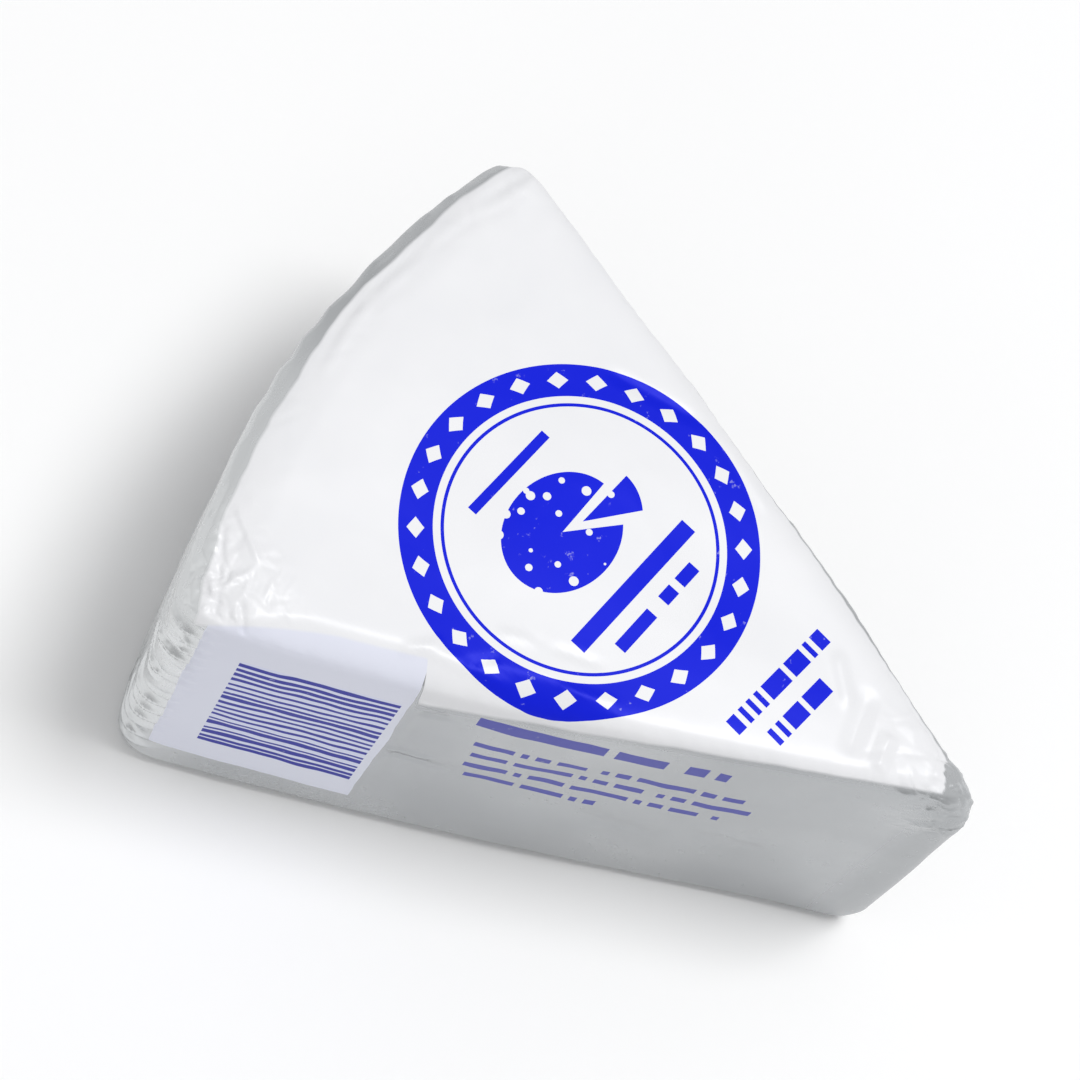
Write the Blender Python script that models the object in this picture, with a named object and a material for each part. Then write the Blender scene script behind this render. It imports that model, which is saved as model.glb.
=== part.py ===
"""A wedge of blue cheese in its shut foil wrapper: one eighth of a small wheel, lying on its flat side.

Units are metres and +Z is up. The origin is at the middle of the box round the wedge, on the surface
that it rests on. The thin end points to -Y and the rounded rind side faces +Y.
"""

import math

import bmesh
import bpy
from mathutils import Vector, noise

# Driving dimensions
SIDE_LENGTH = 0.0775  # thin end to rind corner, along a cut side
APEX_ANGLE = math.radians(45.4)  # between the two cut sides
HEIGHT = 0.0415
RIND_RISE = 0.0056  # how far the rind arc stands out from its chord
SIDE_CROWN = 0.0011  # how far a cut side bulges at its middle

# Roundings of the wrapped block
TIP_RADIUS = 0.0013  # upright edge at the thin end
CORNER_RADIUS = 0.0037  # upright edges at the rind corners
TOP_EDGE = 0.0018  # upper rim on the cut sides
TOP_EDGE_RIND = 0.0032  # upper rim on the rind side
BOTTOM_EDGE = 0.0024  # lower rim
TIP_EDGE_SHARE = 0.30  # how much of those rim roundings is left at the thin end
SPREAD = 0.022  # how much wider the wedge is at the floor than at its top, as a share
TIP_SET_BACK = 0.0014  # how far the thin end is drawn back at its top
TIP_STAND_OUT = 0.0044  # how far the folded thin end stands out below that
TIP_ROUND = 0.0080  # height of the round between the two
TIP_REACH = 0.0150  # how far along the wedge the fold reaches
RIND_BELLY = 0.0004  # how far the rind side swells at half height

# Relief of the foil
WRINKLE = 0.00035  # soft wrinkles all over the sides and top
WRINKLE_SIZES = (0.0110, 0.0052)
CRUMPLE = 0.00070  # gathered foil at the rind corners
CRUMPLE_TIP = 0.00022  # and at the thin end
CRUMPLE_SIZE = 0.0060
CRUMPLE_REACH = 0.0110  # how far from an upright edge it is gathered
PLEAT_DEPTH = 0.00055  # pleats on the rind side, beside each corner
PLEAT_PITCH = 0.0042
PLEAT_SLANT = 0.30  # how far the pleats fan out, as a share of their height
TOP_SAG = 0.00035  # the top face is slightly hollow
SETTLED_HEIGHT = 0.0040  # the relief fades out over this height, so that the base lies flat

# Mesh density
TIP_STEPS = 6
SIDE_STEPS = 26
CORNER_STEPS = 6
RIND_STEPS = 26
EDGE_STEPS = 4
WALL_STEPS = 13
CAP_SCALES = (0.965, 0.90, 0.80, 0.68, 0.54, 0.38, 0.20)

FOIL_COLOUR = (0.80, 0.81, 0.83, 1.0)
FOIL_ROUGHNESS = 0.38
FOIL_METALLIC = 0.55

HALF_ANGLE = APEX_ANGLE / 2
HALF_CHORD = SIDE_LENGTH * math.sin(HALF_ANGLE)
CHORD_Y = SIDE_LENGTH * math.cos(HALF_ANGLE)
RIND_RADIUS = (HALF_CHORD**2 + RIND_RISE**2) / (2 * RIND_RISE)
RIND_HALF_ANGLE = math.asin(HALF_CHORD / RIND_RADIUS)
IN_RADIUS = HALF_CHORD * CHORD_Y / (SIDE_LENGTH + HALF_CHORD)
IN_CENTRE = Vector((0.0, CHORD_Y - IN_RADIUS))


def smooth_step(value):
    """0 below 0, 1 above 1, and a smooth rise between."""
    t = min(max(value, 0.0), 1.0)
    return t * t * (3 - 2 * t)


def fillet(corner, toward_a, toward_b, radius, steps):
    """Points and outward normals of a round corner between two straight directions."""
    half = toward_a.angle(toward_b) / 2
    bisector = (toward_a + toward_b).normalized()
    centre = corner + bisector * (radius / math.sin(half))
    start = (centre.dot(toward_a) - corner.dot(toward_a)) * toward_a + corner - centre
    end = (centre.dot(toward_b) - corner.dot(toward_b)) * toward_b + corner - centre
    points = []
    for step in range(steps + 1):
        normal = start.slerp(end, step / steps).normalized()
        points.append((centre + normal * radius, normal))
    return points


def outline():
    """The wedge seen from above, as (point, outward normal) pairs, clockwise from the thin end."""
    tip = Vector((0.0, 0.0))
    left = Vector((-HALF_CHORD, CHORD_Y))
    up_left = left.normalized()
    up_right = Vector((-up_left.x, up_left.y))
    rind_end = Vector((math.cos(RIND_HALF_ANGLE), math.sin(RIND_HALF_ANGLE)))

    tip_round = fillet(tip, up_right, up_left, TIP_RADIUS, TIP_STEPS)
    left_round = fillet(left, -up_left, rind_end, CORNER_RADIUS, CORNER_STEPS)

    points = list(tip_round)
    side_start, side_end = tip_round[-1][0], left_round[0][0]
    side_normal = Vector((-up_left.y, up_left.x))
    for step in range(1, SIDE_STEPS):
        share = step / SIDE_STEPS
        bulge = SIDE_CROWN * 4 * share * (1 - share)
        points.append((side_start.lerp(side_end, share) + side_normal * bulge, side_normal))
    points += left_round

    rind_centre = Vector((0.0, CHORD_Y + RIND_RISE - RIND_RADIUS))
    first = left_round[-1][0] - rind_centre
    reach = math.atan2(-first.x, first.y)
    for step in range(1, RIND_STEPS):
        angle = reach * (1 - 2 * step / RIND_STEPS)
        normal = Vector((-math.sin(angle), math.cos(angle)))
        points.append((rind_centre + normal * first.length, normal))

    mirrored = [(Vector((-p.x, p.y)), Vector((-n.x, n.y))) for p, n in points]
    right_half = [pair for pair in reversed(mirrored[TIP_STEPS + 1 : -(RIND_STEPS - 1)])]
    return points + right_half


def rim_round(point, normal, small, large):
    """The rim's rounding at a place of the outline: small on the cut sides, large on the rind side."""
    share = smooth_step((normal.y - 0.3) / 0.5)
    near_tip = smooth_step(point.length / 0.010)
    return (small + (large - small) * share) * (TIP_EDGE_SHARE + (1 - TIP_EDGE_SHARE) * near_tip)


def levels():
    """(part of the rounding taken in, level, height share) of each ring, from the floor up."""
    rings = []
    for step in range(EDGE_STEPS + 1):
        angle = math.pi / 2 * step / EDGE_STEPS
        rings.append((1 - math.sin(angle), "bottom", 1 - math.cos(angle)))
    for step in range(1, WALL_STEPS):
        rings.append((0.0, "wall", step / WALL_STEPS))
    for step in range(EDGE_STEPS + 1):
        angle = math.pi / 2 * step / EDGE_STEPS
        rings.append((1 - math.cos(angle), "top", 1 - math.sin(angle)))
    return rings


def ring_points(loop, level):
    """The places of one ring of the skin."""
    taken_in, kind, share = level
    places = []
    for point, normal in loop:
        low = rim_round(point, normal, BOTTOM_EDGE, BOTTOM_EDGE)
        high = rim_round(point, normal, TOP_EDGE, TOP_EDGE_RIND)
        if kind == "bottom":
            radius, z = low, low * share
        elif kind == "top":
            radius, z = high, HEIGHT - high * share
        else:
            radius, z = 0.0, low + (HEIGHT - low - high) * share
        flat = point - normal * radius * taken_in
        places.append(Vector((flat.x, flat.y, z)))
    return places


def cap_points(rim, scale):
    """A ring of a cap: the rim drawn towards the centre of the largest circle that fits the wedge."""
    places = []
    for place in rim:
        flat = IN_CENTRE + (place.xy - IN_CENTRE) * scale
        places.append(Vector((flat.x, flat.y, place.z)))
    return places


def upright_edges():
    """Where the three upright edges stand, in plan, and how deeply the foil is crumpled there."""
    inset = CORNER_RADIUS * 0.5
    return (
        (Vector((0.0, TIP_RADIUS)), CRUMPLE_TIP),
        (Vector((-HALF_CHORD + inset, CHORD_Y)), CRUMPLE),
        (Vector((HALF_CHORD - inset, CHORD_Y)), CRUMPLE),
    )


def ridged(place, size):
    """Folded noise, 1 along its creases and lower between them, as in crushed foil."""
    return 1 - 3.6 * abs(noise.noise(place / size))


def relief(place, normal):
    """How far the foil stands out of the smooth block at a place."""
    height_share = place.z / HEIGHT
    broad, fine = WRINKLE_SIZES
    out = WRINKLE * (noise.noise(place / broad) + 0.5 * noise.noise(place / fine))
    for edge, depth in upright_edges():
        gathered = smooth_step(1 - (place.xy - edge).length / CRUMPLE_REACH)
        out += depth * gathered * ridged(place, CRUMPLE_SIZE)
    if abs(normal.z) < 0.6:
        on_rind = smooth_step((normal.y - 0.45) / 0.4)
        beside_corner = smooth_step((abs(place.x) - 0.55 * HALF_CHORD) / (0.35 * HALF_CHORD))
        fan = place.x + PLEAT_SLANT * (height_share - 0.5) * HEIGHT * math.copysign(1, place.x)
        wave = math.sin(2 * math.pi * fan / PLEAT_PITCH)
        mid_height = smooth_step(4 * height_share * (1 - height_share))
        out += PLEAT_DEPTH * on_rind * beside_corner * mid_height * wave
    return out * smooth_step(place.z / SETTLED_HEIGHT)


def shape(place, normal):
    """Spreads the foot, draws the thin end out, swells the rind side, hollows the top, adds the relief."""
    height_share = place.z / HEIGHT
    moved = place + normal * relief(place, normal)
    scale = 1 + SPREAD * (1 - height_share)
    moved.x *= scale
    moved.y = CHORD_Y - (CHORD_Y - moved.y) * scale
    near_tip = smooth_step(1 - place.y / TIP_REACH)
    above = max(1 - (HEIGHT - place.z) / TIP_ROUND, 0.0)
    moved.y += near_tip * (TIP_SET_BACK - TIP_STAND_OUT * math.sqrt(max(1 - above**2, 0.0)))
    on_rind = smooth_step((place.y - 0.8 * CHORD_Y) / (0.2 * CHORD_Y))
    moved.y += RIND_BELLY * on_rind * math.sin(math.pi * height_share)
    if height_share > 0.98:
        inward = (place.xy - IN_CENTRE).length / IN_RADIUS
        moved.z -= TOP_SAG * smooth_step(1.2 - inward)
    return moved


def skin_of(loop):
    """A closed bmesh: rings drawn up from the floor, with a fan in the middle of each cap."""
    wall = [ring_points(loop, level) for level in levels()]
    bottom = [cap_points(wall[0], scale) for scale in reversed(CAP_SCALES)]
    top = [cap_points(wall[-1], scale) for scale in CAP_SCALES]
    rings = bottom + wall + top

    bm = bmesh.new()
    first = [bm.verts.new(place) for place in rings[0]]
    floor_face = bm.faces.new(first)
    edges = list(floor_face.edges)
    for places in rings[1:]:
        grown = bmesh.ops.extrude_edge_only(bm, edges=edges)["geom"]
        edges = [item for item in grown if isinstance(item, bmesh.types.BMEdge)]
        edges = [edge for edge in edges if len(edge.link_faces) == 1]
        verts = ordered(edges, first)
        for vert, place in zip(verts, places):
            vert.co = place
        first = verts
    top_face = bm.faces.new(first)
    bmesh.ops.poke(bm, faces=[floor_face, top_face])
    bmesh.ops.recalc_face_normals(bm, faces=bm.faces)
    return bm


def ordered(edges, below):
    """The free verts of the last extruded ring, in the order of the ring below it."""
    free = {vert for edge in edges for vert in edge.verts}
    found = []
    for vert in below:
        found.append(next(edge.other_vert(vert) for edge in vert.link_edges if edge.other_vert(vert) in free))
    return found


def foil_material():
    material = bpy.data.materials.new("foil")
    material.use_nodes = True
    shader = material.node_tree.nodes["Principled BSDF"]
    shader.inputs["Base Color"].default_value = FOIL_COLOUR
    shader.inputs["Roughness"].default_value = FOIL_ROUGHNESS
    shader.inputs["Metallic"].default_value = FOIL_METALLIC
    material.diffuse_color = FOIL_COLOUR
    return material


def wrapped_wedge(collection):
    bm = skin_of(outline())
    bm.normal_update()
    moved = {vert: shape(vert.co.copy(), vert.normal.copy()) for vert in bm.verts}
    for vert, place in moved.items():
        vert.co = place
    low_y = min(vert.co.y for vert in bm.verts)
    high_y = max(vert.co.y for vert in bm.verts)
    bmesh.ops.translate(bm, verts=bm.verts, vec=(0.0, -(low_y + high_y) / 2, 0.0))
    bmesh.ops.triangulate(bm, faces=bm.faces)
    mesh = bpy.data.meshes.new("wrapped_wedge")
    bm.to_mesh(mesh)
    bm.free()
    mesh.shade_smooth()
    mesh.materials.append(foil_material())
    wedge = bpy.data.objects.new("wrapped_wedge", mesh)
    collection.objects.link(wedge)
    return wedge


def main():
    for old in list(bpy.data.objects):
        bpy.data.objects.remove(old)
    collection = bpy.data.collections.new("blue_cheese_wedge")
    bpy.context.scene.collection.children.link(collection)
    wrapped_wedge(collection)


main()
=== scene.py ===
"""A wedge of blue cheese shut in white-lacquered, blue-printed foil, on a plain pale floor."""

import math

import bmesh
import bpy
import numpy as np
from mathutils import Matrix, Vector


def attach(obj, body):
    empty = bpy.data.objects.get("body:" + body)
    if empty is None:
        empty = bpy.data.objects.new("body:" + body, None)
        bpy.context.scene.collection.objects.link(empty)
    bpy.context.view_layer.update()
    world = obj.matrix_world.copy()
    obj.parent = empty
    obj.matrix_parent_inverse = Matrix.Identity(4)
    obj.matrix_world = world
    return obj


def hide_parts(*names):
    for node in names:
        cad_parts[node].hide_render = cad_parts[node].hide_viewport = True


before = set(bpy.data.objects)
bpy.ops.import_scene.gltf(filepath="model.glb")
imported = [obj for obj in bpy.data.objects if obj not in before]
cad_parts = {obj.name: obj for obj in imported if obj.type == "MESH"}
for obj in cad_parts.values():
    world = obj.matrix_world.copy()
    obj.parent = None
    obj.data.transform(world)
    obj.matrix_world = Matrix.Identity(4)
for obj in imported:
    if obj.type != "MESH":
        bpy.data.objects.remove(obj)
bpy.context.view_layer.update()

MM = 0.001

# The block
SIDE_LENGTH = 77.5 * MM
HALF_ANGLE = math.radians(22.7)
HEIGHT = 41.8 * MM
RIND_RISE = 5.6 * MM
SIDE_CROWN = 1.1 * MM
TIP_RADIUS = 1.3 * MM
CORNER_RADIUS = 3.7 * MM
RIGHT_CORNER_RADIUS = 2.9 * MM
RIM_RADIUS = 1.3 * MM
SPREAD = 0.022  # how much wider the foot is than the top
TIP_SET_BACK = 2.2 * MM
TIP_STAND_OUT = 5.0 * MM
TIP_ROUND = 8.0 * MM
TIP_REACH = 15.0 * MM
TIP_FOOT = 1.0 * MM  # how far the foot of the thin end draws back
FRONT_SLOPE = 1.2 * MM  # width of the rim's slope along the left cut side
FRONT_SLOPE_MORE = 2.0 * MM  # and how much more of it there is along the middle
FRONT_DROP = 0.30 * MM
FRONT_DROP_MORE = 1.25 * MM
RIND_SLOPE = 5.5 * MM
RIND_DROP = 1.3 * MM

APEX_Y = -37.7 * MM  # where the two cut sides would meet
HALF_CHORD = SIDE_LENGTH * math.sin(HALF_ANGLE)
CHORD_Y = SIDE_LENGTH * math.cos(HALF_ANGLE)
RIND_RADIUS = (HALF_CHORD**2 + RIND_RISE**2) / (2 * RIND_RISE)
RIND_HALF_ANGLE = math.asin(HALF_CHORD / RIND_RADIUS)
RIND_TURN_Y = APEX_Y + CHORD_Y + RIND_RISE - RIND_RADIUS  # the centre of the rind side's arc

# Mesh density
RIND_STEPS = 24
TIP_SEGMENTS = 5
CORNER_SEGMENTS = 7
RIM_SEGMENTS = 5
VOXEL = 0.74 * MM
SMOOTH_ROUNDS = 5  # over the even net
FINE_ROUNDS = 6  # after each refinement

LEFT_ALONG = np.array((-math.sin(HALF_ANGLE), math.cos(HALF_ANGLE)))
LEFT_OUT = np.array((-math.cos(HALF_ANGLE), -math.sin(HALF_ANGLE)))
RIGHT_ALONG = LEFT_ALONG * (-1, 1)
RIGHT_OUT = LEFT_OUT * (-1, 1)
LEFT_CORNER = np.array((-HALF_CHORD, APEX_Y + CHORD_Y))
RIGHT_CORNER = LEFT_CORNER * (-1, 1)

# The print on the top
SEAL_CENTRE = (-0.8 * MM, 7.4 * MM)
SEAL_TURN = math.radians(-8.6)
BAND_MIDDLE = 15.95 * MM
BAND_WIDTH = 3.3 * MM
LOZENGES = 26
HAIRLINE = 13.4 * MM
WHEEL_REACH = 6.6 * MM
WHEEL_GAP = -0.35  # where the drawn-out wedge points, in radians
ROWS_CENTRE = (-2.7 * MM, -15.2 * MM)
ROWS_TURN = math.radians(-11.5)
ROWS_HEIGHT = 1.8 * MM
ROWS_PITCH = 0.56 * MM
ROWS_SHARE = 0.64

# The print on the left cut side: middle along it and up it, width and height
PANEL = ((64.3 * MM, 26.4 * MM), 20.6 * MM, 40.0 * MM)
STRIPES = ((62.6 * MM, 23.0 * MM), 15.6 * MM, 24.0 * MM)
HEADLINE = ((35.2 * MM, 35.4 * MM), 24.8 * MM, 2.2 * MM)
STRIPE_PITCH = 1.35 * MM
TEXT_TOP = 29.6  # height of the first line of text, in millimetres
TEXT_SPACING = 3.0
TEXT_LINES = ((33.0, 27.0), (31.8, 29.0), (33.2, 26.0), (39.0, 14.0))  # middle and width of each

# How far the lacquer's border climbs for each step in from a side
BORDER_LEAN = 2.44

# Colours
FOIL_GREY = (0.415, 0.428, 0.441)
# the lighter foil: tone that differs at random, and painted light where it lifts the foil near the left rind
# corner
FOIL_BRIGHT = (0.80, 0.815, 0.82)
WHITE_SHADE = (0.77, 0.775, 0.795)
WHITE_LIGHT = (0.83, 0.83, 0.845)
LABEL_TINT = (0.68, 0.71, 0.88)
INK_BLUE = (0.001, 0.010, 0.70)
# the darker blue: random mottle in the ink on the top, and painted shade on the print on the left cut side
INK_MOTTLE_AND_SHADE = (0.030, 0.035, 0.34)
FLOOR_SHADE = (0.93, 0.93, 0.93)
FLOOR_LIGHT = (0.96, 0.96, 0.96)

# Lamps: name, place, size in metres and power in watts
LAMPS = (
    ("key", (0.14, -0.20, 1.00), 0.34, 5.9),
    ("fill", (-0.25, 0.05, 0.95), 0.9, 0.8),
    ("rind", (-0.25, 0.62, 0.16), 0.4, 0.26),
    ("side", (-0.62, -0.02, 0.26), 0.4, 0.32),
)
SKY_COLOUR = (0.985, 0.99, 1.0, 1.0)
SKY_STRENGTH = 0.44
FLOOR_REACH = 3.0

CAMERA_PLACE = Vector((-0.14140, 0.01763, 0.33792))
CAMERA_RIGHT = Vector((0.50518, -0.82444, 0.25512))
CAMERA_UP = Vector((0.75266, 0.56553, 0.33718))
FOCAL_LENGTH = 116.67

# Crumples: height, size and seed, with lengths in millimetres
TOP_CRUMPLES = ((0.10, 15.0, 23), (0.035, 6.0, 24))
LEFT_CRUMPLES = ((0.09, 12.0, 31), (0.03, 5.0, 32))
RIGHT_CRUMPLES = ((0.16, 9.0, 37), (0.06, 3.5, 38))
RIND_CRUMPLES = ((0.06, 7.0, 39), (0.03, 2.6, 40))
LEFT_CORNER_CRUMPLES = ((0.44, 3.6, 41), (0.28, 1.7, 42))
RIGHT_CORNER_CRUMPLES = ((0.16, 3.4, 43), (0.12, 1.6, 44))
TIP_CRUMPLES = ((0.50, 3.6, 47), (0.30, 1.7, 48))
TIP_EDGE_CRUMPLES = ((0.16, 1.6, 53),)
RIM_CRUMPLES = ((0.10, 3.0, 59),)

# Fold lines strewn at random: height, spacing, half width, seed and number of directions
LEFT_CORNER_FOLDS = ((0.26, 2.6, 0.38, 45, 4), (0.12, 1.5, 0.26, 46, 4))
TIP_FOLDS = ((0.12, 3.0, 0.40, 49, 2),)
TIP_EDGE_FOLDS = ((0.17, 1.8, 0.32, 54, 4),)
RIM_FOLDS = ((0.09, 3.2, 0.40, 60, 4),)

# Single fold lines on the top: start, end, half width and height, in millimetres
TOP_CREASES = (
    ((9.5, 37.9), (25.5, 33.2), 0.8, 0.14),
    ((11.5, 35.9), (23.0, 32.4), 0.7, -0.12),
    ((-15.5, 37.0), (-24.2, 35.2), 0.6, 0.24),
    ((-24.3, 35.1), (-27.8, 35.2), 0.5, -0.24),
    ((-17.6, 35.5), (-21.5, 30.5), 0.5, 0.24),
    ((-19.7, 35.4), (-28.3, 30.9), 0.5, -0.26),
    ((-22.1, 30.6), (-26.8, 32.9), 0.5, 0.26),
    ((-25.3, 30.1), (-28.2, 27.5), 0.5, -0.24),
    ((-20.7, 15.6), (-17.4, 12.6), 0.7, 0.22),
    ((-19.2, 14.6), (-17.0, 4.4), 0.8, 0.20),
    ((-18.0, 10.0), (-15.4, 7.4), 0.6, -0.18),
    ((-14.9, 2.0), (-12.6, -4.2), 0.7, 0.16),
    ((-12.4, 6.8), (-10.2, -1.2), 0.6, -0.17),
    ((-13.6, 9.4), (-11.2, 3.0), 0.6, 0.14),
    ((15.2, 14.5), (16.6, 3.5), 0.9, -0.20),
    ((17.0, 2.0), (12.5, -6.5), 0.9, 0.18),
    ((4.6, -18.5), (0.2, -22.5), 1.0, 0.26),
    ((3.4, -23.2), (-3.8, -24.6), 1.5, -0.30),
    ((0.6, -27.0), (-3.4, -27.6), 1.2, 0.34),
)
# Single fold lines on the left cut side, whose places are the distance from the apex and the height
FRONT_CREASES = (
    ((54.2, 23.2), (48.4, 22.4), 0.7, 0.24),
    ((53.6, 21.4), (46.4, 20.8), 0.7, -0.22),
    ((54.0, 36.8), (50.5, 36.2), 0.8, 0.26),
    ((53.2, 33.9), (49.8, 34.6), 0.8, -0.18),
    ((53.2, 6.5), (53.4, 36.0), 0.9, 0.20),
    ((22.1, 20.3), (13.3, 18.9), 1.3, 0.12),
    ((35.1, 17.4), (24.0, 16.2), 1.4, -0.10),
)


# ---------------------------------------------------------------- fields over the skin

def smooth(values):
    """0 below 0, 1 above 1, smooth between."""
    t = np.clip(values, 0.0, 1.0)
    return t * t * (3 - 2 * t)


def swell(points, size, seed):
    """A smooth random field, about -1 to 1, whose humps are as wide as size."""
    rng = np.random.RandomState(seed)
    total = np.zeros(len(points))
    for _ in range(7):
        direction = rng.normal(size=3)
        direction /= np.linalg.norm(direction)
        wave = rng.uniform(1.3, 2.6) * size
        total += np.sin(points @ direction * (2 * math.pi / wave) + rng.uniform(0, 2 * math.pi))
    return total / 3.2


def facets(points, size, seed):
    """A random field, about -1 to 1, of flat patches about size across that meet in sharp folds."""
    rng = np.random.RandomState(seed)
    turn = np.array(Matrix.Rotation(rng.uniform(0.6, 2.4), 3, Vector(rng.normal(size=3)).normalized()))
    bend = np.stack([swell(points, size * 2.4, seed + 50 + axis) for axis in range(3)], axis=1)
    spots = (points + bend * size * 0.4) @ turn / size + rng.uniform(0, 30, 3)
    lattice = 24
    levels = rng.uniform(-1, 1, (lattice, lattice, lattice))
    cells = np.floor(spots).astype(int)
    parts = spots - cells
    order = np.argsort(-parts, axis=1)
    first, last = np.ones((len(points), 1)), np.zeros((len(points), 1))
    shares = np.concatenate([first, -np.sort(-parts, axis=1), last], axis=1)
    total = np.zeros(len(points))
    for corner in range(4):
        if corner:
            cells = cells + np.eye(3, dtype=int)[order[:, corner - 1]]
        a, b, c = (cells % lattice).T
        total += (shares[:, corner] - shares[:, corner + 1]) * levels[a, b, c]
    return total


def fold_lines(points, size, width, seed, count):
    """Narrow ridges and grooves, about -1 to 1, that start and stop and cross each other."""
    rng = np.random.RandomState(seed)
    total = np.zeros(len(points))
    bend = np.stack([swell(points, size * 1.3, seed + 50 + axis) for axis in range(3)], axis=1)
    bent = points + bend * size * 0.45
    for index in range(count):
        direction = rng.normal(size=3)
        direction /= np.linalg.norm(direction)
        pitch = size * rng.uniform(0.8, 1.5)
        phase = bent @ direction / pitch + rng.uniform(0, 1)
        nearest = np.round(phase)
        line = np.clip(1 - np.abs(phase - nearest) * pitch / width, 0, 1)
        signs = rng.choice((-1.0, 1.0), 64)
        sign = signs[nearest.astype(int) % len(signs)]
        total += sign * line * smooth(0.35 + 1.7 * swell(points, size * 0.9, seed + 100 + index))
    return np.clip(total, -1.3, 1.3)


def crumpled(points, crumples, folds=()):
    """The sum of some crumples and strewn fold lines, in millimetres."""
    total = sum(height * facets(points, size * MM, seed) for height, size, seed in crumples)
    for height, size, width, seed, count in folds:
        total = total + height * fold_lines(points, size * MM, width * MM, seed, count)
    return total


def crease(places, start, end, width, depth):
    """A fold line from start to end over flat places: up to depth high, and nothing beyond width."""
    start, end = np.array(start) * MM, np.array(end) * MM
    run = end - start
    share = np.clip(((places - start) @ run) / (run @ run), 0, 1)
    away = np.linalg.norm(places - start - share[:, None] * run, axis=1)
    fade = smooth(4 * np.minimum(share, 1 - share) + 0.15)
    return depth * MM * fade * np.clip(1 - away / (width * MM), 0, 1)


def creases(places, lines):
    """The sum of some single fold lines."""
    return sum(crease(places, *line) for line in lines)


def side_place(points, along, out):
    """How far along a cut side each point is, and how far out of its plane."""
    plan = points[:, :2] - (0.0, APEX_Y)
    return plan @ along, plan @ out


def rind_depth(points):
    """How far in from the rind side's arc each point is, in plan."""
    return RIND_RADIUS - np.linalg.norm(points[:, :2] - (0.0, RIND_TURN_Y), axis=1)


def near(points, corner, reach):
    """1 at a corner in plan, 0 beyond reach from it, smooth between."""
    return smooth(1 - np.linalg.norm(points[:, :2] - corner, axis=1) / reach)


# ---------------------------------------------------------------- the block

def plain_block():
    """The wedge with plain faces and rounded edges, as a bmesh."""
    bm = bmesh.new()
    first = bm.verts.new((-HALF_CHORD, APEX_Y + CHORD_Y, 0.0))
    bmesh.ops.spin(bm, geom=[first], cent=(0.0, RIND_TURN_Y, 0.0), axis=(0, 0, -1), steps=RIND_STEPS,
                   angle=2 * RIND_HALF_ANGLE, use_merge=False, use_duplicate=False)
    last = max(bm.verts, key=lambda vert: vert.co.x)
    tip = bm.verts.new((0.0, APEX_Y, 0.0))
    bm.edges.new((last, tip))
    bm.edges.new((tip, first))
    bmesh.ops.contextual_create(bm, geom=list(bm.edges))
    grown = bmesh.ops.extrude_face_region(bm, geom=list(bm.faces), use_keep_orig=True)["geom"]
    lifted = [item for item in grown if isinstance(item, bmesh.types.BMVert)]
    bmesh.ops.translate(bm, verts=lifted, vec=(0.0, 0.0, HEIGHT))
    bmesh.ops.recalc_face_normals(bm, faces=bm.faces)
    round_upright(bm, (0.0, APEX_Y), TIP_RADIUS / math.tan(HALF_ANGLE), TIP_SEGMENTS)
    round_upright(bm, LEFT_CORNER, CORNER_RADIUS, CORNER_SEGMENTS)
    round_upright(bm, RIGHT_CORNER, RIGHT_CORNER_RADIUS, CORNER_SEGMENTS)
    rims = [edge for edge in bm.edges if edge.calc_face_angle(0.0) > math.radians(60)]
    bmesh.ops.bevel(bm, geom=rims, offset=RIM_RADIUS, offset_type="OFFSET", affect="EDGES",
                    segments=RIM_SEGMENTS, profile=0.5, material=-1, clamp_overlap=True)
    return bm


def round_upright(bm, place, offset, segments):
    """Rounds the upright edge that stands at a place in plan, from offset away on both sides."""
    spot = Vector((place[0], place[1]))
    close = 0.001 * MM
    edges = [edge for edge in bm.edges if all((vert.co.xy - spot).length < close for vert in edge.verts)]
    bmesh.ops.bevel(bm, geom=edges, offset=offset, offset_type="OFFSET", affect="EDGES", segments=segments,
                    profile=0.5, material=-1)


def fine_skin(bm):
    """The block's skin as an even net, finer where the foil is crushed."""
    rough = bpy.data.meshes.new("block")
    bm.to_mesh(rough)
    bm.free()
    holder = bpy.data.objects.new("block", rough)
    bpy.context.scene.collection.objects.link(holder)
    remesh = holder.modifiers.new("even_net", "REMESH")
    remesh.mode = "VOXEL"
    remesh.voxel_size = VOXEL
    even = bpy.data.meshes.new_from_object(holder.evaluated_get(bpy.context.evaluated_depsgraph_get()))
    bpy.data.objects.remove(holder)
    bpy.data.meshes.remove(rough)
    skin = bmesh.new()
    skin.from_mesh(even)
    bpy.data.meshes.remove(even)
    ease(skin, SMOOTH_ROUNDS)
    split(skin, wrinkled)
    ease(skin, FINE_ROUNDS)
    split(skin, most_wrinkled)
    ease(skin, FINE_ROUNDS)
    return skin


def wrinkled(x, y, z):
    """Whether a place is in the top, the crushed foil or the fold lines beside the label panel."""
    on_top = z > HEIGHT - 4 * MM
    by_corner = z > 2 * MM and crushed(x, y, 13 * MM)
    by_panel = x < -10 * MM and z > 13 * MM and 8 * MM < y < 18 * MM
    return on_top or by_corner or by_panel


def most_wrinkled(x, y, z):
    """Whether a place is in the middle of the crushed foil."""
    on_top = z > HEIGHT - 2 * MM and crushed(x, y, 12 * MM)
    below = z > 3 * MM and crushed(x, y, 5.5 * MM)
    return on_top or below


def ease(skin, rounds):
    """Smooths the steps out of the net."""
    for _ in range(rounds):
        bmesh.ops.smooth_vert(skin, verts=skin.verts, factor=0.5, use_axis_x=True, use_axis_y=True,
                              use_axis_z=True)


def crushed(x, y, reach):
    """Whether a place in plan is in the crushed foil at the left rind corner or the thin end."""
    return math.hypot(x - LEFT_CORNER[0], y - LEFT_CORNER[1]) < reach or y < APEX_Y + reach + 2 * MM


def split(skin, chosen):
    """Halves the edges of the faces whose middle is chosen."""
    edges = {edge for face in skin.faces if chosen(*face.calc_center_median()) for edge in face.edges}
    bmesh.ops.subdivide_edges(skin, edges=list(edges), cuts=1, use_grid_fill=True)


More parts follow.
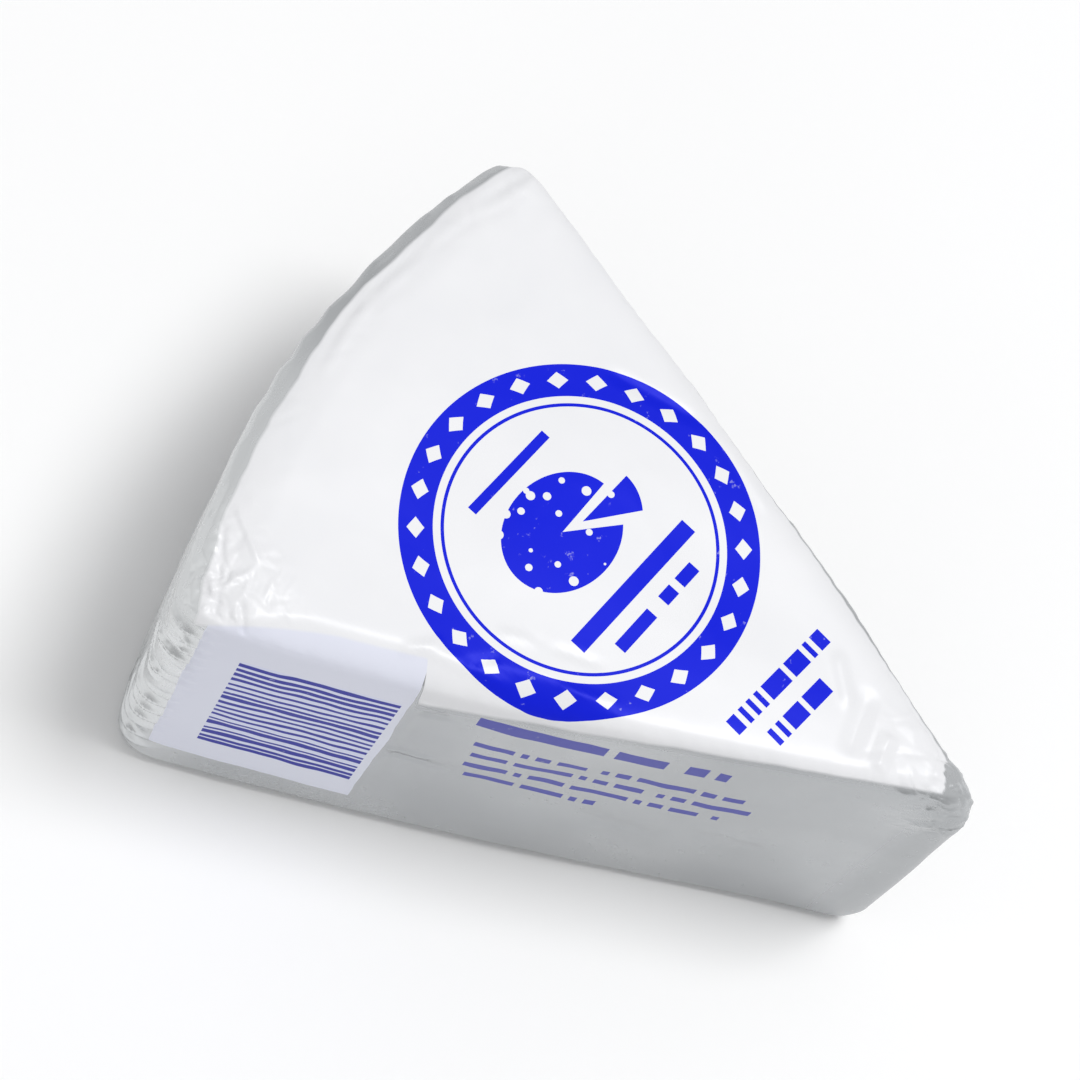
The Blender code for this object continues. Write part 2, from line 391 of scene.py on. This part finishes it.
def shaped(points):
    """Crowns the cut sides, spreads the foot, draws the thin end out and softens the front rim."""
    moved = points.copy()
    for along, out in ((LEFT_ALONG, LEFT_OUT), (RIGHT_ALONG, RIGHT_OUT)):
        run, depth = side_place(points, along, out)
        share = np.clip(run / SIDE_LENGTH, 0, 1)
        weight = smooth(1 + depth / (12 * MM))
        moved[:, :2] += np.outer(SIDE_CROWN * 4 * share * (1 - share) * weight, out)
    height_share = points[:, 2] / HEIGHT
    scale = 1 + SPREAD * (1 - height_share)
    chord_y = APEX_Y + CHORD_Y
    moved[:, 0] *= scale
    moved[:, 1] = chord_y - (chord_y - moved[:, 1]) * scale

    # the thin end
    near_tip = smooth(1 - (points[:, 1] - APEX_Y) / TIP_REACH)
    above = np.clip(1 - (HEIGHT - points[:, 2]) / TIP_ROUND, 0, 1)
    moved[:, 1] += near_tip * (TIP_SET_BACK - TIP_STAND_OUT * np.sqrt(1 - above**2))
    moved[:, 1] += near_tip * smooth(1 - points[:, 2] / (6 * MM)) * TIP_FOOT

    # the rims' slopes
    on_top = smooth((points[:, 2] - HEIGHT + 6 * MM) / (5 * MM))
    run, depth = side_place(points, LEFT_ALONG, LEFT_OUT)
    middle = smooth((run - 34 * MM) / (10 * MM)) * smooth((75 * MM - run) / (10 * MM))
    slope = np.clip(1 + depth / (FRONT_SLOPE + FRONT_SLOPE_MORE * middle), 0, 1.2)
    moved[:, 2] -= on_top * slope**1.2 * (FRONT_DROP + FRONT_DROP_MORE * middle)
    rind_slope = np.clip(1 - rind_depth(points) / RIND_SLOPE, 0, 1.2)
    moved[:, 2] -= on_top * rind_slope**1.8 * RIND_DROP
    return moved


# ---------------------------------------------------------------- the foil's relief

def relief(points, normals):
    """How far the foil stands out of the smooth block, in metres."""
    x, y, z = points.T
    height_share = z / HEIGHT
    facing_up = smooth((normals[:, 2] - 0.35) / 0.4)
    flat_top = smooth((normals[:, 2] - 0.72) / 0.2)
    upright = 1 - smooth((np.abs(normals[:, 2]) - 0.3) / 0.4)
    run_left, _ = side_place(points, LEFT_ALONG, LEFT_OUT)
    run_right, _ = side_place(points, RIGHT_ALONG, RIGHT_OUT)
    on_left = upright * smooth((normals[:, :2] @ LEFT_OUT - 0.6) / 0.3)
    on_right = upright * smooth((normals[:, :2] @ RIGHT_OUT - 0.6) / 0.3)
    on_rind = upright * smooth((normals[:, 1] - 0.45) / 0.4)

    out = 0.10 * MM * swell(points, 10 * MM, 3)
    out += facing_up * MM * crumpled(points, TOP_CRUMPLES)
    out += on_left * MM * crumpled(points, LEFT_CRUMPLES)
    out += on_right * MM * crumpled(points, RIGHT_CRUMPLES)
    out += on_rind * MM * crumpled(points, RIND_CRUMPLES)

    # crushed corners
    by_left = near(points, LEFT_CORNER + (2.5 * MM, 0.5 * MM), 11.5 * MM)
    by_right = near(points, RIGHT_CORNER + (-1.5 * MM, -1.5 * MM), 10 * MM)
    by_tip = smooth(1 - (y - APEX_Y - 2 * MM) / (14 * MM))
    tip_edge = smooth(1 - (y - APEX_Y - 3 * MM) / (4 * MM)) * smooth((height_share - 0.72) / 0.2)
    out += by_left * flat_top * MM * crumpled(points, LEFT_CORNER_CRUMPLES, LEFT_CORNER_FOLDS)
    out += by_right * facing_up * MM * crumpled(points, RIGHT_CORNER_CRUMPLES)
    out += by_tip * facing_up * MM * crumpled(points, TIP_CRUMPLES, TIP_FOLDS)
    out += tip_edge * MM * crumpled(points, TIP_EDGE_CRUMPLES, TIP_EDGE_FOLDS)

    # crinkles, a groove and a ridge along the rind rim
    to_rind = rind_depth(points)
    rim = smooth(1 - np.abs(to_rind - 2.6 * MM) / (3.2 * MM)) * flat_top
    drift = to_rind + 0.6 * MM * swell(points, 8 * MM, 73)
    groove = np.clip(1 - np.abs(drift - 2.0 * MM) / (0.55 * MM), 0, 1)
    ridge = np.clip(1 - np.abs(drift - 3.1 * MM) / (0.65 * MM), 0, 1)
    out += facing_up * smooth((x + 4 * MM) / (8 * MM)) * MM * (0.13 * ridge - 0.16 * groove)
    out += rim * MM * crumpled(points, RIM_CRUMPLES, RIM_FOLDS)

    # pleats gathered round the rind corners
    body = smooth(height_share / 0.12) * smooth((1 - height_share) / 0.10)
    for corner, sign, seed in ((LEFT_CORNER, 1, 61), (RIGHT_CORNER, -1, 67)):
        across = (points[:, :2] - corner) @ np.array((sign * 0.39, 0.92))
        reach = near(points, corner, 16 * MM) * (1 - facing_up)
        reach = reach * smooth(1.6 - np.abs(across - 1.8 * MM) / (3.6 * MM))
        level = z + 0.35 * across + 0.9 * MM * swell(points, 9 * MM, seed)
        phase = level / (2.4 * MM)
        pleat = 2 * (1 - 2 * np.abs(phase - np.floor(phase) - 0.5)) ** 1.5 - 1
        gate = smooth(0.75 + 0.9 * swell(points, 4 * MM, seed + 1))
        out += reach * body * gate * 0.46 * MM * pleat

    # upright pleats in the middle of the rind side
    wave = np.sin(2 * math.pi * (x + 0.8 * MM * swell(points, 9 * MM, 71)) / (5.2 * MM))
    out += on_rind * smooth(1 - np.abs(x) / HALF_CHORD) * 0.10 * MM * wave

    out += seams(points, on_right, on_rind, run_right)
    out += facing_up * creases(points[:, :2], TOP_CREASES)
    out += on_left * creases(np.stack([run_left, z], axis=1), FRONT_CREASES)
    return out * smooth(z / (3.0 * MM))


def seams(points, on_right, on_rind, run_right):
    """The lapped edge and the folded flaps, on the two sides without print."""
    z = points[:, 2]
    step = 0.5 * MM  # how far an edge takes to rise
    wobble = 0.5 * MM * swell(points, 7 * MM, 83)
    lap = smooth((z - 15 * MM - 0.06 * run_right + wobble) / step + 0.5)
    rind_end = smooth(((run_right - 52 * MM) * 0.8 - (z - 6 * MM) * 0.6 + wobble) / step + 0.5)
    thin_end = smooth(((26 * MM - run_right) * 0.75 - (HEIGHT - z - 8 * MM) * 0.66 + wobble) / step + 0.5)
    out = on_right * (0.22 * MM * lap + 0.20 * MM * rind_end + 0.16 * MM * thin_end)
    rind_flap = smooth((z - 9 * MM - 0.55 * np.abs(points[:, 0]) + wobble) / step + 0.5)
    out += on_rind * 0.20 * MM * rind_flap
    return out


def move(skin, points):
    """Puts the skin's vertices at new places."""
    for vert, place in zip(skin.verts, points):
        vert.co = place


def foil_wrap():
    """The whole wrapped wedge: one skin, the block's shape with the foil's relief on it."""
    skin = fine_skin(plain_block())
    points = shaped(np.array([vert.co[:] for vert in skin.verts]))
    move(skin, points)
    skin.normal_update()
    normals = np.array([vert.normal[:] for vert in skin.verts])
    points = points + normals * relief(points, normals)[:, None]
    points[:, 2] = np.maximum(points[:, 2], 0.0)
    move(skin, points)
    bmesh.ops.recalc_face_normals(skin, faces=skin.faces)
    mesh = bpy.data.meshes.new("foil_wrap")
    skin.to_mesh(mesh)
    skin.free()
    mesh.shade_smooth()
    wrap = bpy.data.objects.new("foil_wrap", mesh)
    bpy.context.scene.collection.objects.link(wrap)
    return wrap


# ---------------------------------------------------------------- materials

class Field:
    """A number that varies over the surface, with the arithmetic of a shader's Math nodes."""

    def __init__(self, tree, socket):
        self.tree, self.socket = tree, socket

    def math(self, operation, *others):
        node = self.tree.nodes.new("ShaderNodeMath")
        node.operation = operation
        for slot, value in enumerate((self,) + others):
            if isinstance(value, Field):
                self.tree.links.new(value.socket, node.inputs[slot])
            else:
                node.inputs[slot].default_value = value
        return Field(self.tree, node.outputs[0])

    def __add__(self, other):
        return self.math("ADD", other)

    def __sub__(self, other):
        return self.math("SUBTRACT", other)

    def __mul__(self, other):
        return self.math("MULTIPLY", other)

    def __truediv__(self, other):
        return self.math("DIVIDE", other)

    def __gt__(self, other):
        return self.math("GREATER_THAN", other)

    def __lt__(self, other):
        return self.math("LESS_THAN", other)

    def __abs__(self):
        return self.math("ABSOLUTE")

    def either(self, other):
        return self.math("MAXIMUM", other)

    def inverse(self):
        return self * -1.0 + 1.0

    def step(self, low, high):
        """0 at low and before, 1 at high and after, smooth between."""
        node = self.tree.nodes.new("ShaderNodeMapRange")
        node.interpolation_type = "SMOOTHSTEP"
        self.tree.links.new(self.socket, node.inputs["Value"])
        node.inputs["From Min"].default_value = low
        node.inputs["From Max"].default_value = high
        return Field(self.tree, node.outputs["Result"])


def node(tree, kind, **values):
    """A shader node with some of its inputs set to numbers or linked to sockets."""
    made = tree.nodes.new(kind)
    for name, value in values.items():
        slot = made.inputs[name.replace("_", " ")]
        if isinstance(value, Field):
            value = value.socket
        if isinstance(value, bpy.types.NodeSocket):
            tree.links.new(value, slot)
        else:
            slot.default_value = value
    return made


def blend(tree, share, first, second):
    """A colour that is first where share is 0 and second where it is 1."""
    mix = node(tree, "ShaderNodeMix", Factor=share)
    mix.data_type = "RGBA"
    for socket, colour in zip(mix.inputs[6:8], (first, second)):
        if isinstance(colour, bpy.types.NodeSocket):
            tree.links.new(colour, socket)
        else:
            socket.default_value = (*colour, 1.0)
    return mix.outputs[2]


def placed(tree, coords, centre, turn):
    """x, y and z in a pattern's own frame."""
    mapping = node(tree, "ShaderNodeMapping", Vector=coords)
    mapping.vector_type = "TEXTURE"
    mapping.inputs["Location"].default_value = centre
    mapping.inputs["Rotation"].default_value = turn
    parts = node(tree, "ShaderNodeSeparateXYZ", Vector=mapping.outputs["Vector"])
    return [Field(tree, parts.outputs[axis]) for axis in "XYZ"]


def bar(x, y, middle, width, height):
    """A filled bar with square ends."""
    return (abs(x - middle[0]) < width / 2) * (abs(y - middle[1]) < height / 2)


def broken_bar(tree, x, y, middle, width, height, pitch, seed, share):
    """A bar broken into blocks of different lengths, as a line of print that fills a share of it."""
    cell = (x / pitch).math("FLOOR") + seed
    return bar(x, y, middle, width, height) * (lot(tree, cell) < share)


def lot(tree, cell):
    """A random number from 0 to 1 for each whole number."""
    chance = tree.nodes.new("ShaderNodeTexWhiteNoise")
    chance.noise_dimensions = "1D"
    tree.links.new(cell.socket, chance.inputs["W"])
    return Field(tree, chance.outputs["Value"])


def noise_field(tree, coords, scale, detail=2.0, rough=0.5):
    """A smooth noise of about 0.5 everywhere."""
    made = node(tree, "ShaderNodeTexNoise", Vector=coords, Scale=scale, Detail=detail, Roughness=rough)
    return Field(tree, made.outputs[0])


def lying_disc(x, y, reach):
    """A round that lies flat and is seen at a slant, and the angle of each place in it."""
    inside = (x * x + y * y * 1.5).math("SQRT") < reach
    angle = (y * 1.22).math("ARCTAN2", x)
    return inside, angle


def seal_print(tree, coords):
    """The round seal on the top: a band with lozenges, a cheese pictogram and plain bars."""
    x, y, _ = placed(tree, coords, (*SEAL_CENTRE, 0.0), (0.0, 0.0, SEAL_TURN))
    radius = (x * x + y * y).math("SQRT")
    from_band = abs(radius - BAND_MIDDLE)
    hairline = abs(radius - HAIRLINE) < 0.17 * MM
    turn = y.math("ARCTAN2", x) * (LOZENGES / (2 * math.pi)) + 100.0
    arc = (turn - turn.math("FLOOR") - 0.5) * (2 * math.pi * BAND_MIDDLE / LOZENGES)
    lozenge = (abs(arc) * 0.8 + from_band) < 0.85 * MM
    band = (from_band < BAND_WIDTH / 2) * lozenge.inverse()

    # a wheel with one wedge drawn out
    wheel_x, wheel_y = x + 0.9 * MM, y - 1.7 * MM
    wheel, angle = lying_disc(wheel_x, wheel_y, WHEEL_REACH)
    wheel = wheel * (abs(angle - WHEEL_GAP) < 0.40).inverse()
    wedge, angle = lying_disc(wheel_x - 2.2 * MM, wheel_y + 0.7 * MM, WHEEL_REACH)
    wedge = wedge * (abs(angle - WHEEL_GAP) < 0.34)
    veins = node(tree, "ShaderNodeTexVoronoi", Vector=coords, Scale=560.0)
    vein = Field(tree, veins.outputs["Distance"]) < 0.27
    wheel = wheel.either(wedge) * vein.inverse()

    bars = bar(x, y, (0.0, -6.6 * MM), 17.0 * MM, 1.7 * MM)
    bars = bars.either(broken_bar(tree, x, y, (0.0, -9.6 * MM), 11.5 * MM, 1.3 * MM, 0.85 * MM, 3.0, 0.72))
    bars = bars.either(bar(x, y, (0.0, 9.2 * MM), 11.0 * MM, 1.0 * MM))
    return band.either(hairline).either(wheel).either(bars)


def rows_print(tree, coords):
    """Two rows of broken bars beside the thin end."""
    x, y, _ = placed(tree, coords, (*ROWS_CENTRE, 0.0), (0.0, 0.0, ROWS_TURN))
    upper = broken_bar(tree, x, y, (1.2 * MM, 0.0), 13.6 * MM, ROWS_HEIGHT, ROWS_PITCH, 21.0, ROWS_SHARE)
    lower = broken_bar(tree, x, y, (0.8 * MM, -3.4 * MM), 8.4 * MM, ROWS_HEIGHT, ROWS_PITCH, 35.0, ROWS_SHARE)
    return upper.either(lower)


def side_print(tree, run, level, ripple):
    """The stripes on the label panel and the lines of print beside it, on the left cut side."""
    level = level + (ripple - 0.5) * (1.1 * MM)
    turn = level / STRIPE_PITCH
    cell = turn.math("FLOOR")
    stripes = bar(run, level, *STRIPES) * ((turn - cell) < (lot(tree, cell + 7.0) * 0.50 + 0.30))
    lines = broken_bar(tree, run, level, *HEADLINE, 1.0 * MM, 50.0, 0.8)
    for index, (middle, width) in enumerate(TEXT_LINES):
        place = (middle * MM, (TEXT_TOP - TEXT_SPACING * index) * MM)
        seed = 60.0 + 9 * index
        line = broken_bar(tree, run, level, place, width * MM, 1.15 * MM, 0.72 * MM, seed, 0.7)
        lines = lines.either(line)
    return stripes, lines


def foil_material():
    """Satin foil, white lacquer over the top and the label panel, and blue ink."""
    material = bpy.data.materials.new("printed_foil")
    material.use_nodes = True
    tree = material.node_tree
    shader = tree.nodes["Principled BSDF"]
    coords = tree.nodes.new("ShaderNodeTexCoord").outputs["Object"]
    x, y, z = placed(tree, coords, (0.0, 0.0, 0.0), (0.0, 0.0, 0.0))
    plan_y = y - APEX_Y
    run = x * LEFT_ALONG[0] + plan_y * LEFT_ALONG[1]
    depth = x * LEFT_OUT[0] + plan_y * LEFT_OUT[1]
    right_depth = x * RIGHT_OUT[0] + plan_y * RIGHT_OUT[1]
    from_turn = y - RIND_TURN_Y
    to_rind = (x * x + from_turn * from_turn).math("SQRT") * -1.0 + RIND_RADIUS
    share = run / SIDE_LENGTH
    crown = share * share.inverse() * (4 * SIDE_CROWN)

    broad_noise = noise_field(tree, coords, 38.0, 3.0)
    soft_noise = noise_field(tree, coords, 130.0)
    ripple = noise_field(tree, coords, 210.0, 1.0)
    grain = noise_field(tree, coords, 420.0, 3.0)
    fine_noise = noise_field(tree, coords, 900.0, 4.0, 0.6)

    # the lacquer over the top: its border on the left cut side, the right one, the rind and the thin end
    edge = (soft_noise - 0.5) * (1.8 * MM)
    front_level = z - (depth - crown) * BORDER_LEAN
    front_run = run / (52 * MM)
    bare_below = front_run * front_run * (-6.0 * MM) + 42.6 * MM
    fall = (run - 60 * MM).math("MAXIMUM", 0.0) / (12 * MM)
    label_below = fall * fall * (-4.0 * MM) + 47.6 * MM
    by_panel = run.step(53.6 * MM, 54.4 * MM)
    bare_below = bare_below + (label_below - bare_below) * by_panel
    above_left = (front_level + edge * 0.7 - bare_below).step(-0.9 * MM, 0.2 * MM)
    right_level = z - (right_depth - crown) * BORDER_LEAN
    above_right = (right_level + edge * 0.4).step(40.6 * MM, 41.2 * MM)
    above_corner = (z + edge * 0.4).step(39.6 * MM, 40.2 * MM).either(x.step(8 * MM, 12 * MM).inverse())
    rind_strip = x.step(-24 * MM, 8 * MM).inverse() * (0.6 * MM) + 1.2 * MM
    off_rind = (to_rind + edge - rind_strip).step(-0.2 * MM, 0.2 * MM)
    ragged = (grain - 0.5) * (5.0 * MM)
    off_tip = (y + ragged - x * 0.35).step(-34.2 * MM, -33.8 * MM)
    lacquer_top = above_left * above_right * above_corner * off_rind * off_tip

    # the label panel and the ink
    on_front = depth.step(-3.2 * MM, -2.6 * MM)
    wobble = (soft_noise - 0.5) * (0.7 * MM)
    panel = bar(run + wobble, z + wobble, *PANEL) * on_front
    ground = bar(run, z, *STRIPES) * panel
    lacquer = lacquer_top.either(panel)
    stripes, lines = side_print(tree, run, z, ripple)
    top_ink = seal_print(tree, coords).either(rows_print(tree, coords)) * lacquer_top
    side_ink = stripes.either(lines * 0.85) * on_front * lacquer_top.inverse()
    speckle = fine_noise.step(0.66, 0.74) * 0.30
    ink = top_ink.either(side_ink) * speckle.inverse()

    # painted light: the foil is lifted towards the left rind corner, where the corner and the rind wall stand
    # in shade; the broad noise part is tone that differs at random
    foil_tone_and_painted_light = broad_noise.step(0.3, 0.7) * 0.25 + run.step(66 * MM, 77 * MM) * 0.6
    foil = blend(tree, foil_tone_and_painted_light, FOIL_GREY, FOIL_BRIGHT)
    white = blend(tree, soft_noise, WHITE_SHADE, WHITE_LIGHT)
    label = blend(tree, (panel * 0.5 + ground * 0.4) * lacquer_top.inverse(), white, LABEL_TINT)
    # painted shade: the print on the left cut side takes the darker blue because that side stands in shade;
    # on the top the darker blue is random mottle
    blue = blend(tree, side_ink.either(broad_noise * 0.3), INK_BLUE, INK_MOTTLE_AND_SHADE)
    printed = blend(tree, ink, blend(tree, lacquer, foil, label), blue)
    tree.links.new(printed, shader.inputs["Base Color"])

    bare = lacquer.inverse() * ink.inverse()
    dull = (front_level - bare_below).step(-2.5 * MM, 0.0).either(y.step(-37 * MM, -33 * MM).inverse())
    metallic = bare * (dull * -0.50 + 0.79) + 0.03
    tree.links.new(metallic.socket, shader.inputs["Metallic"])
    rough = fine_noise * 0.10 + broad_noise * 0.08 + 0.28 - bare * 0.11
    tree.links.new(rough.socket, shader.inputs["Roughness"])
    shader.inputs["Specular IOR Level"].default_value = 0.08

    height = fine_noise * 0.35 + grain * 0.65
    bump = node(tree, "ShaderNodeBump", Height=height, Strength=0.03, Distance=0.06 * MM)
    tree.links.new(bump.outputs["Normal"], shader.inputs["Normal"])
    return material


def floor_material():
    """A matt, faintly mottled white."""
    material = bpy.data.materials.new("studio_floor")
    material.use_nodes = True
    tree = material.node_tree
    shader = tree.nodes["Principled BSDF"]
    coords = tree.nodes.new("ShaderNodeTexCoord").outputs["Object"]
    mottle = blend(tree, noise_field(tree, coords, 9.0, 4.0), FLOOR_SHADE, FLOOR_LIGHT)
    tree.links.new(mottle, shader.inputs["Base Color"])
    shader.inputs["Roughness"].default_value = 0.9
    shader.inputs["Specular IOR Level"].default_value = 0.15
    return material


# ---------------------------------------------------------------- stage, light and camera

def studio():
    """The floor, the sky and the lamps."""
    bm = bmesh.new()
    bmesh.ops.create_grid(bm, x_segments=1, y_segments=1, size=FLOOR_REACH)
    mesh = bpy.data.meshes.new("floor")
    bm.to_mesh(mesh)
    bm.free()
    mesh.materials.append(floor_material())
    floor = bpy.data.objects.new("floor", mesh)
    bpy.context.scene.collection.objects.link(floor)

    world = bpy.data.worlds.new("studio")
    bpy.context.scene.world = world
    world.use_nodes = True
    background = world.node_tree.nodes["Background"]
    background.inputs["Color"].default_value = SKY_COLOUR
    background.inputs["Strength"].default_value = SKY_STRENGTH
    for name, place, size, power in LAMPS:
        soft_box(name, Vector(place), size, power)

    scene = bpy.context.scene
    scene.view_settings.view_transform = "Standard"
    scene.view_settings.look = "None"


def soft_box(name, place, size, power):
    """A square light that faces the block."""
    data = bpy.data.lights.new(name, "AREA")
    data.shape = "SQUARE"
    data.size = size
    data.energy = power
    lamp = bpy.data.objects.new(name, data)
    lamp.location = place
    lamp.rotation_mode = "QUATERNION"
    lamp.rotation_quaternion = (Vector((0.0, 0.0, 0.02)) - place).to_track_quat("-Z", "Y")
    bpy.context.scene.collection.objects.link(lamp)


def camera():
    """The camera, in front of the left cut side and well above it."""
    data = bpy.data.cameras.new("camera")
    data.sensor_width = 36.0
    data.lens = FOCAL_LENGTH
    data.clip_start, data.clip_end = 0.01, 10.0
    back = CAMERA_RIGHT.cross(CAMERA_UP)
    turn = Matrix((CAMERA_RIGHT, CAMERA_UP, back)).transposed()
    made = bpy.data.objects.new("camera", data)
    made.matrix_world = Matrix.Translation(CAMERA_PLACE) @ turn.to_4x4()
    bpy.context.scene.collection.objects.link(made)
    bpy.context.scene.camera = made


camera()
studio()
wrap = foil_wrap()
wrap.data.materials.append(foil_material())
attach(wrap, "root")
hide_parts("wrapped_wedge")
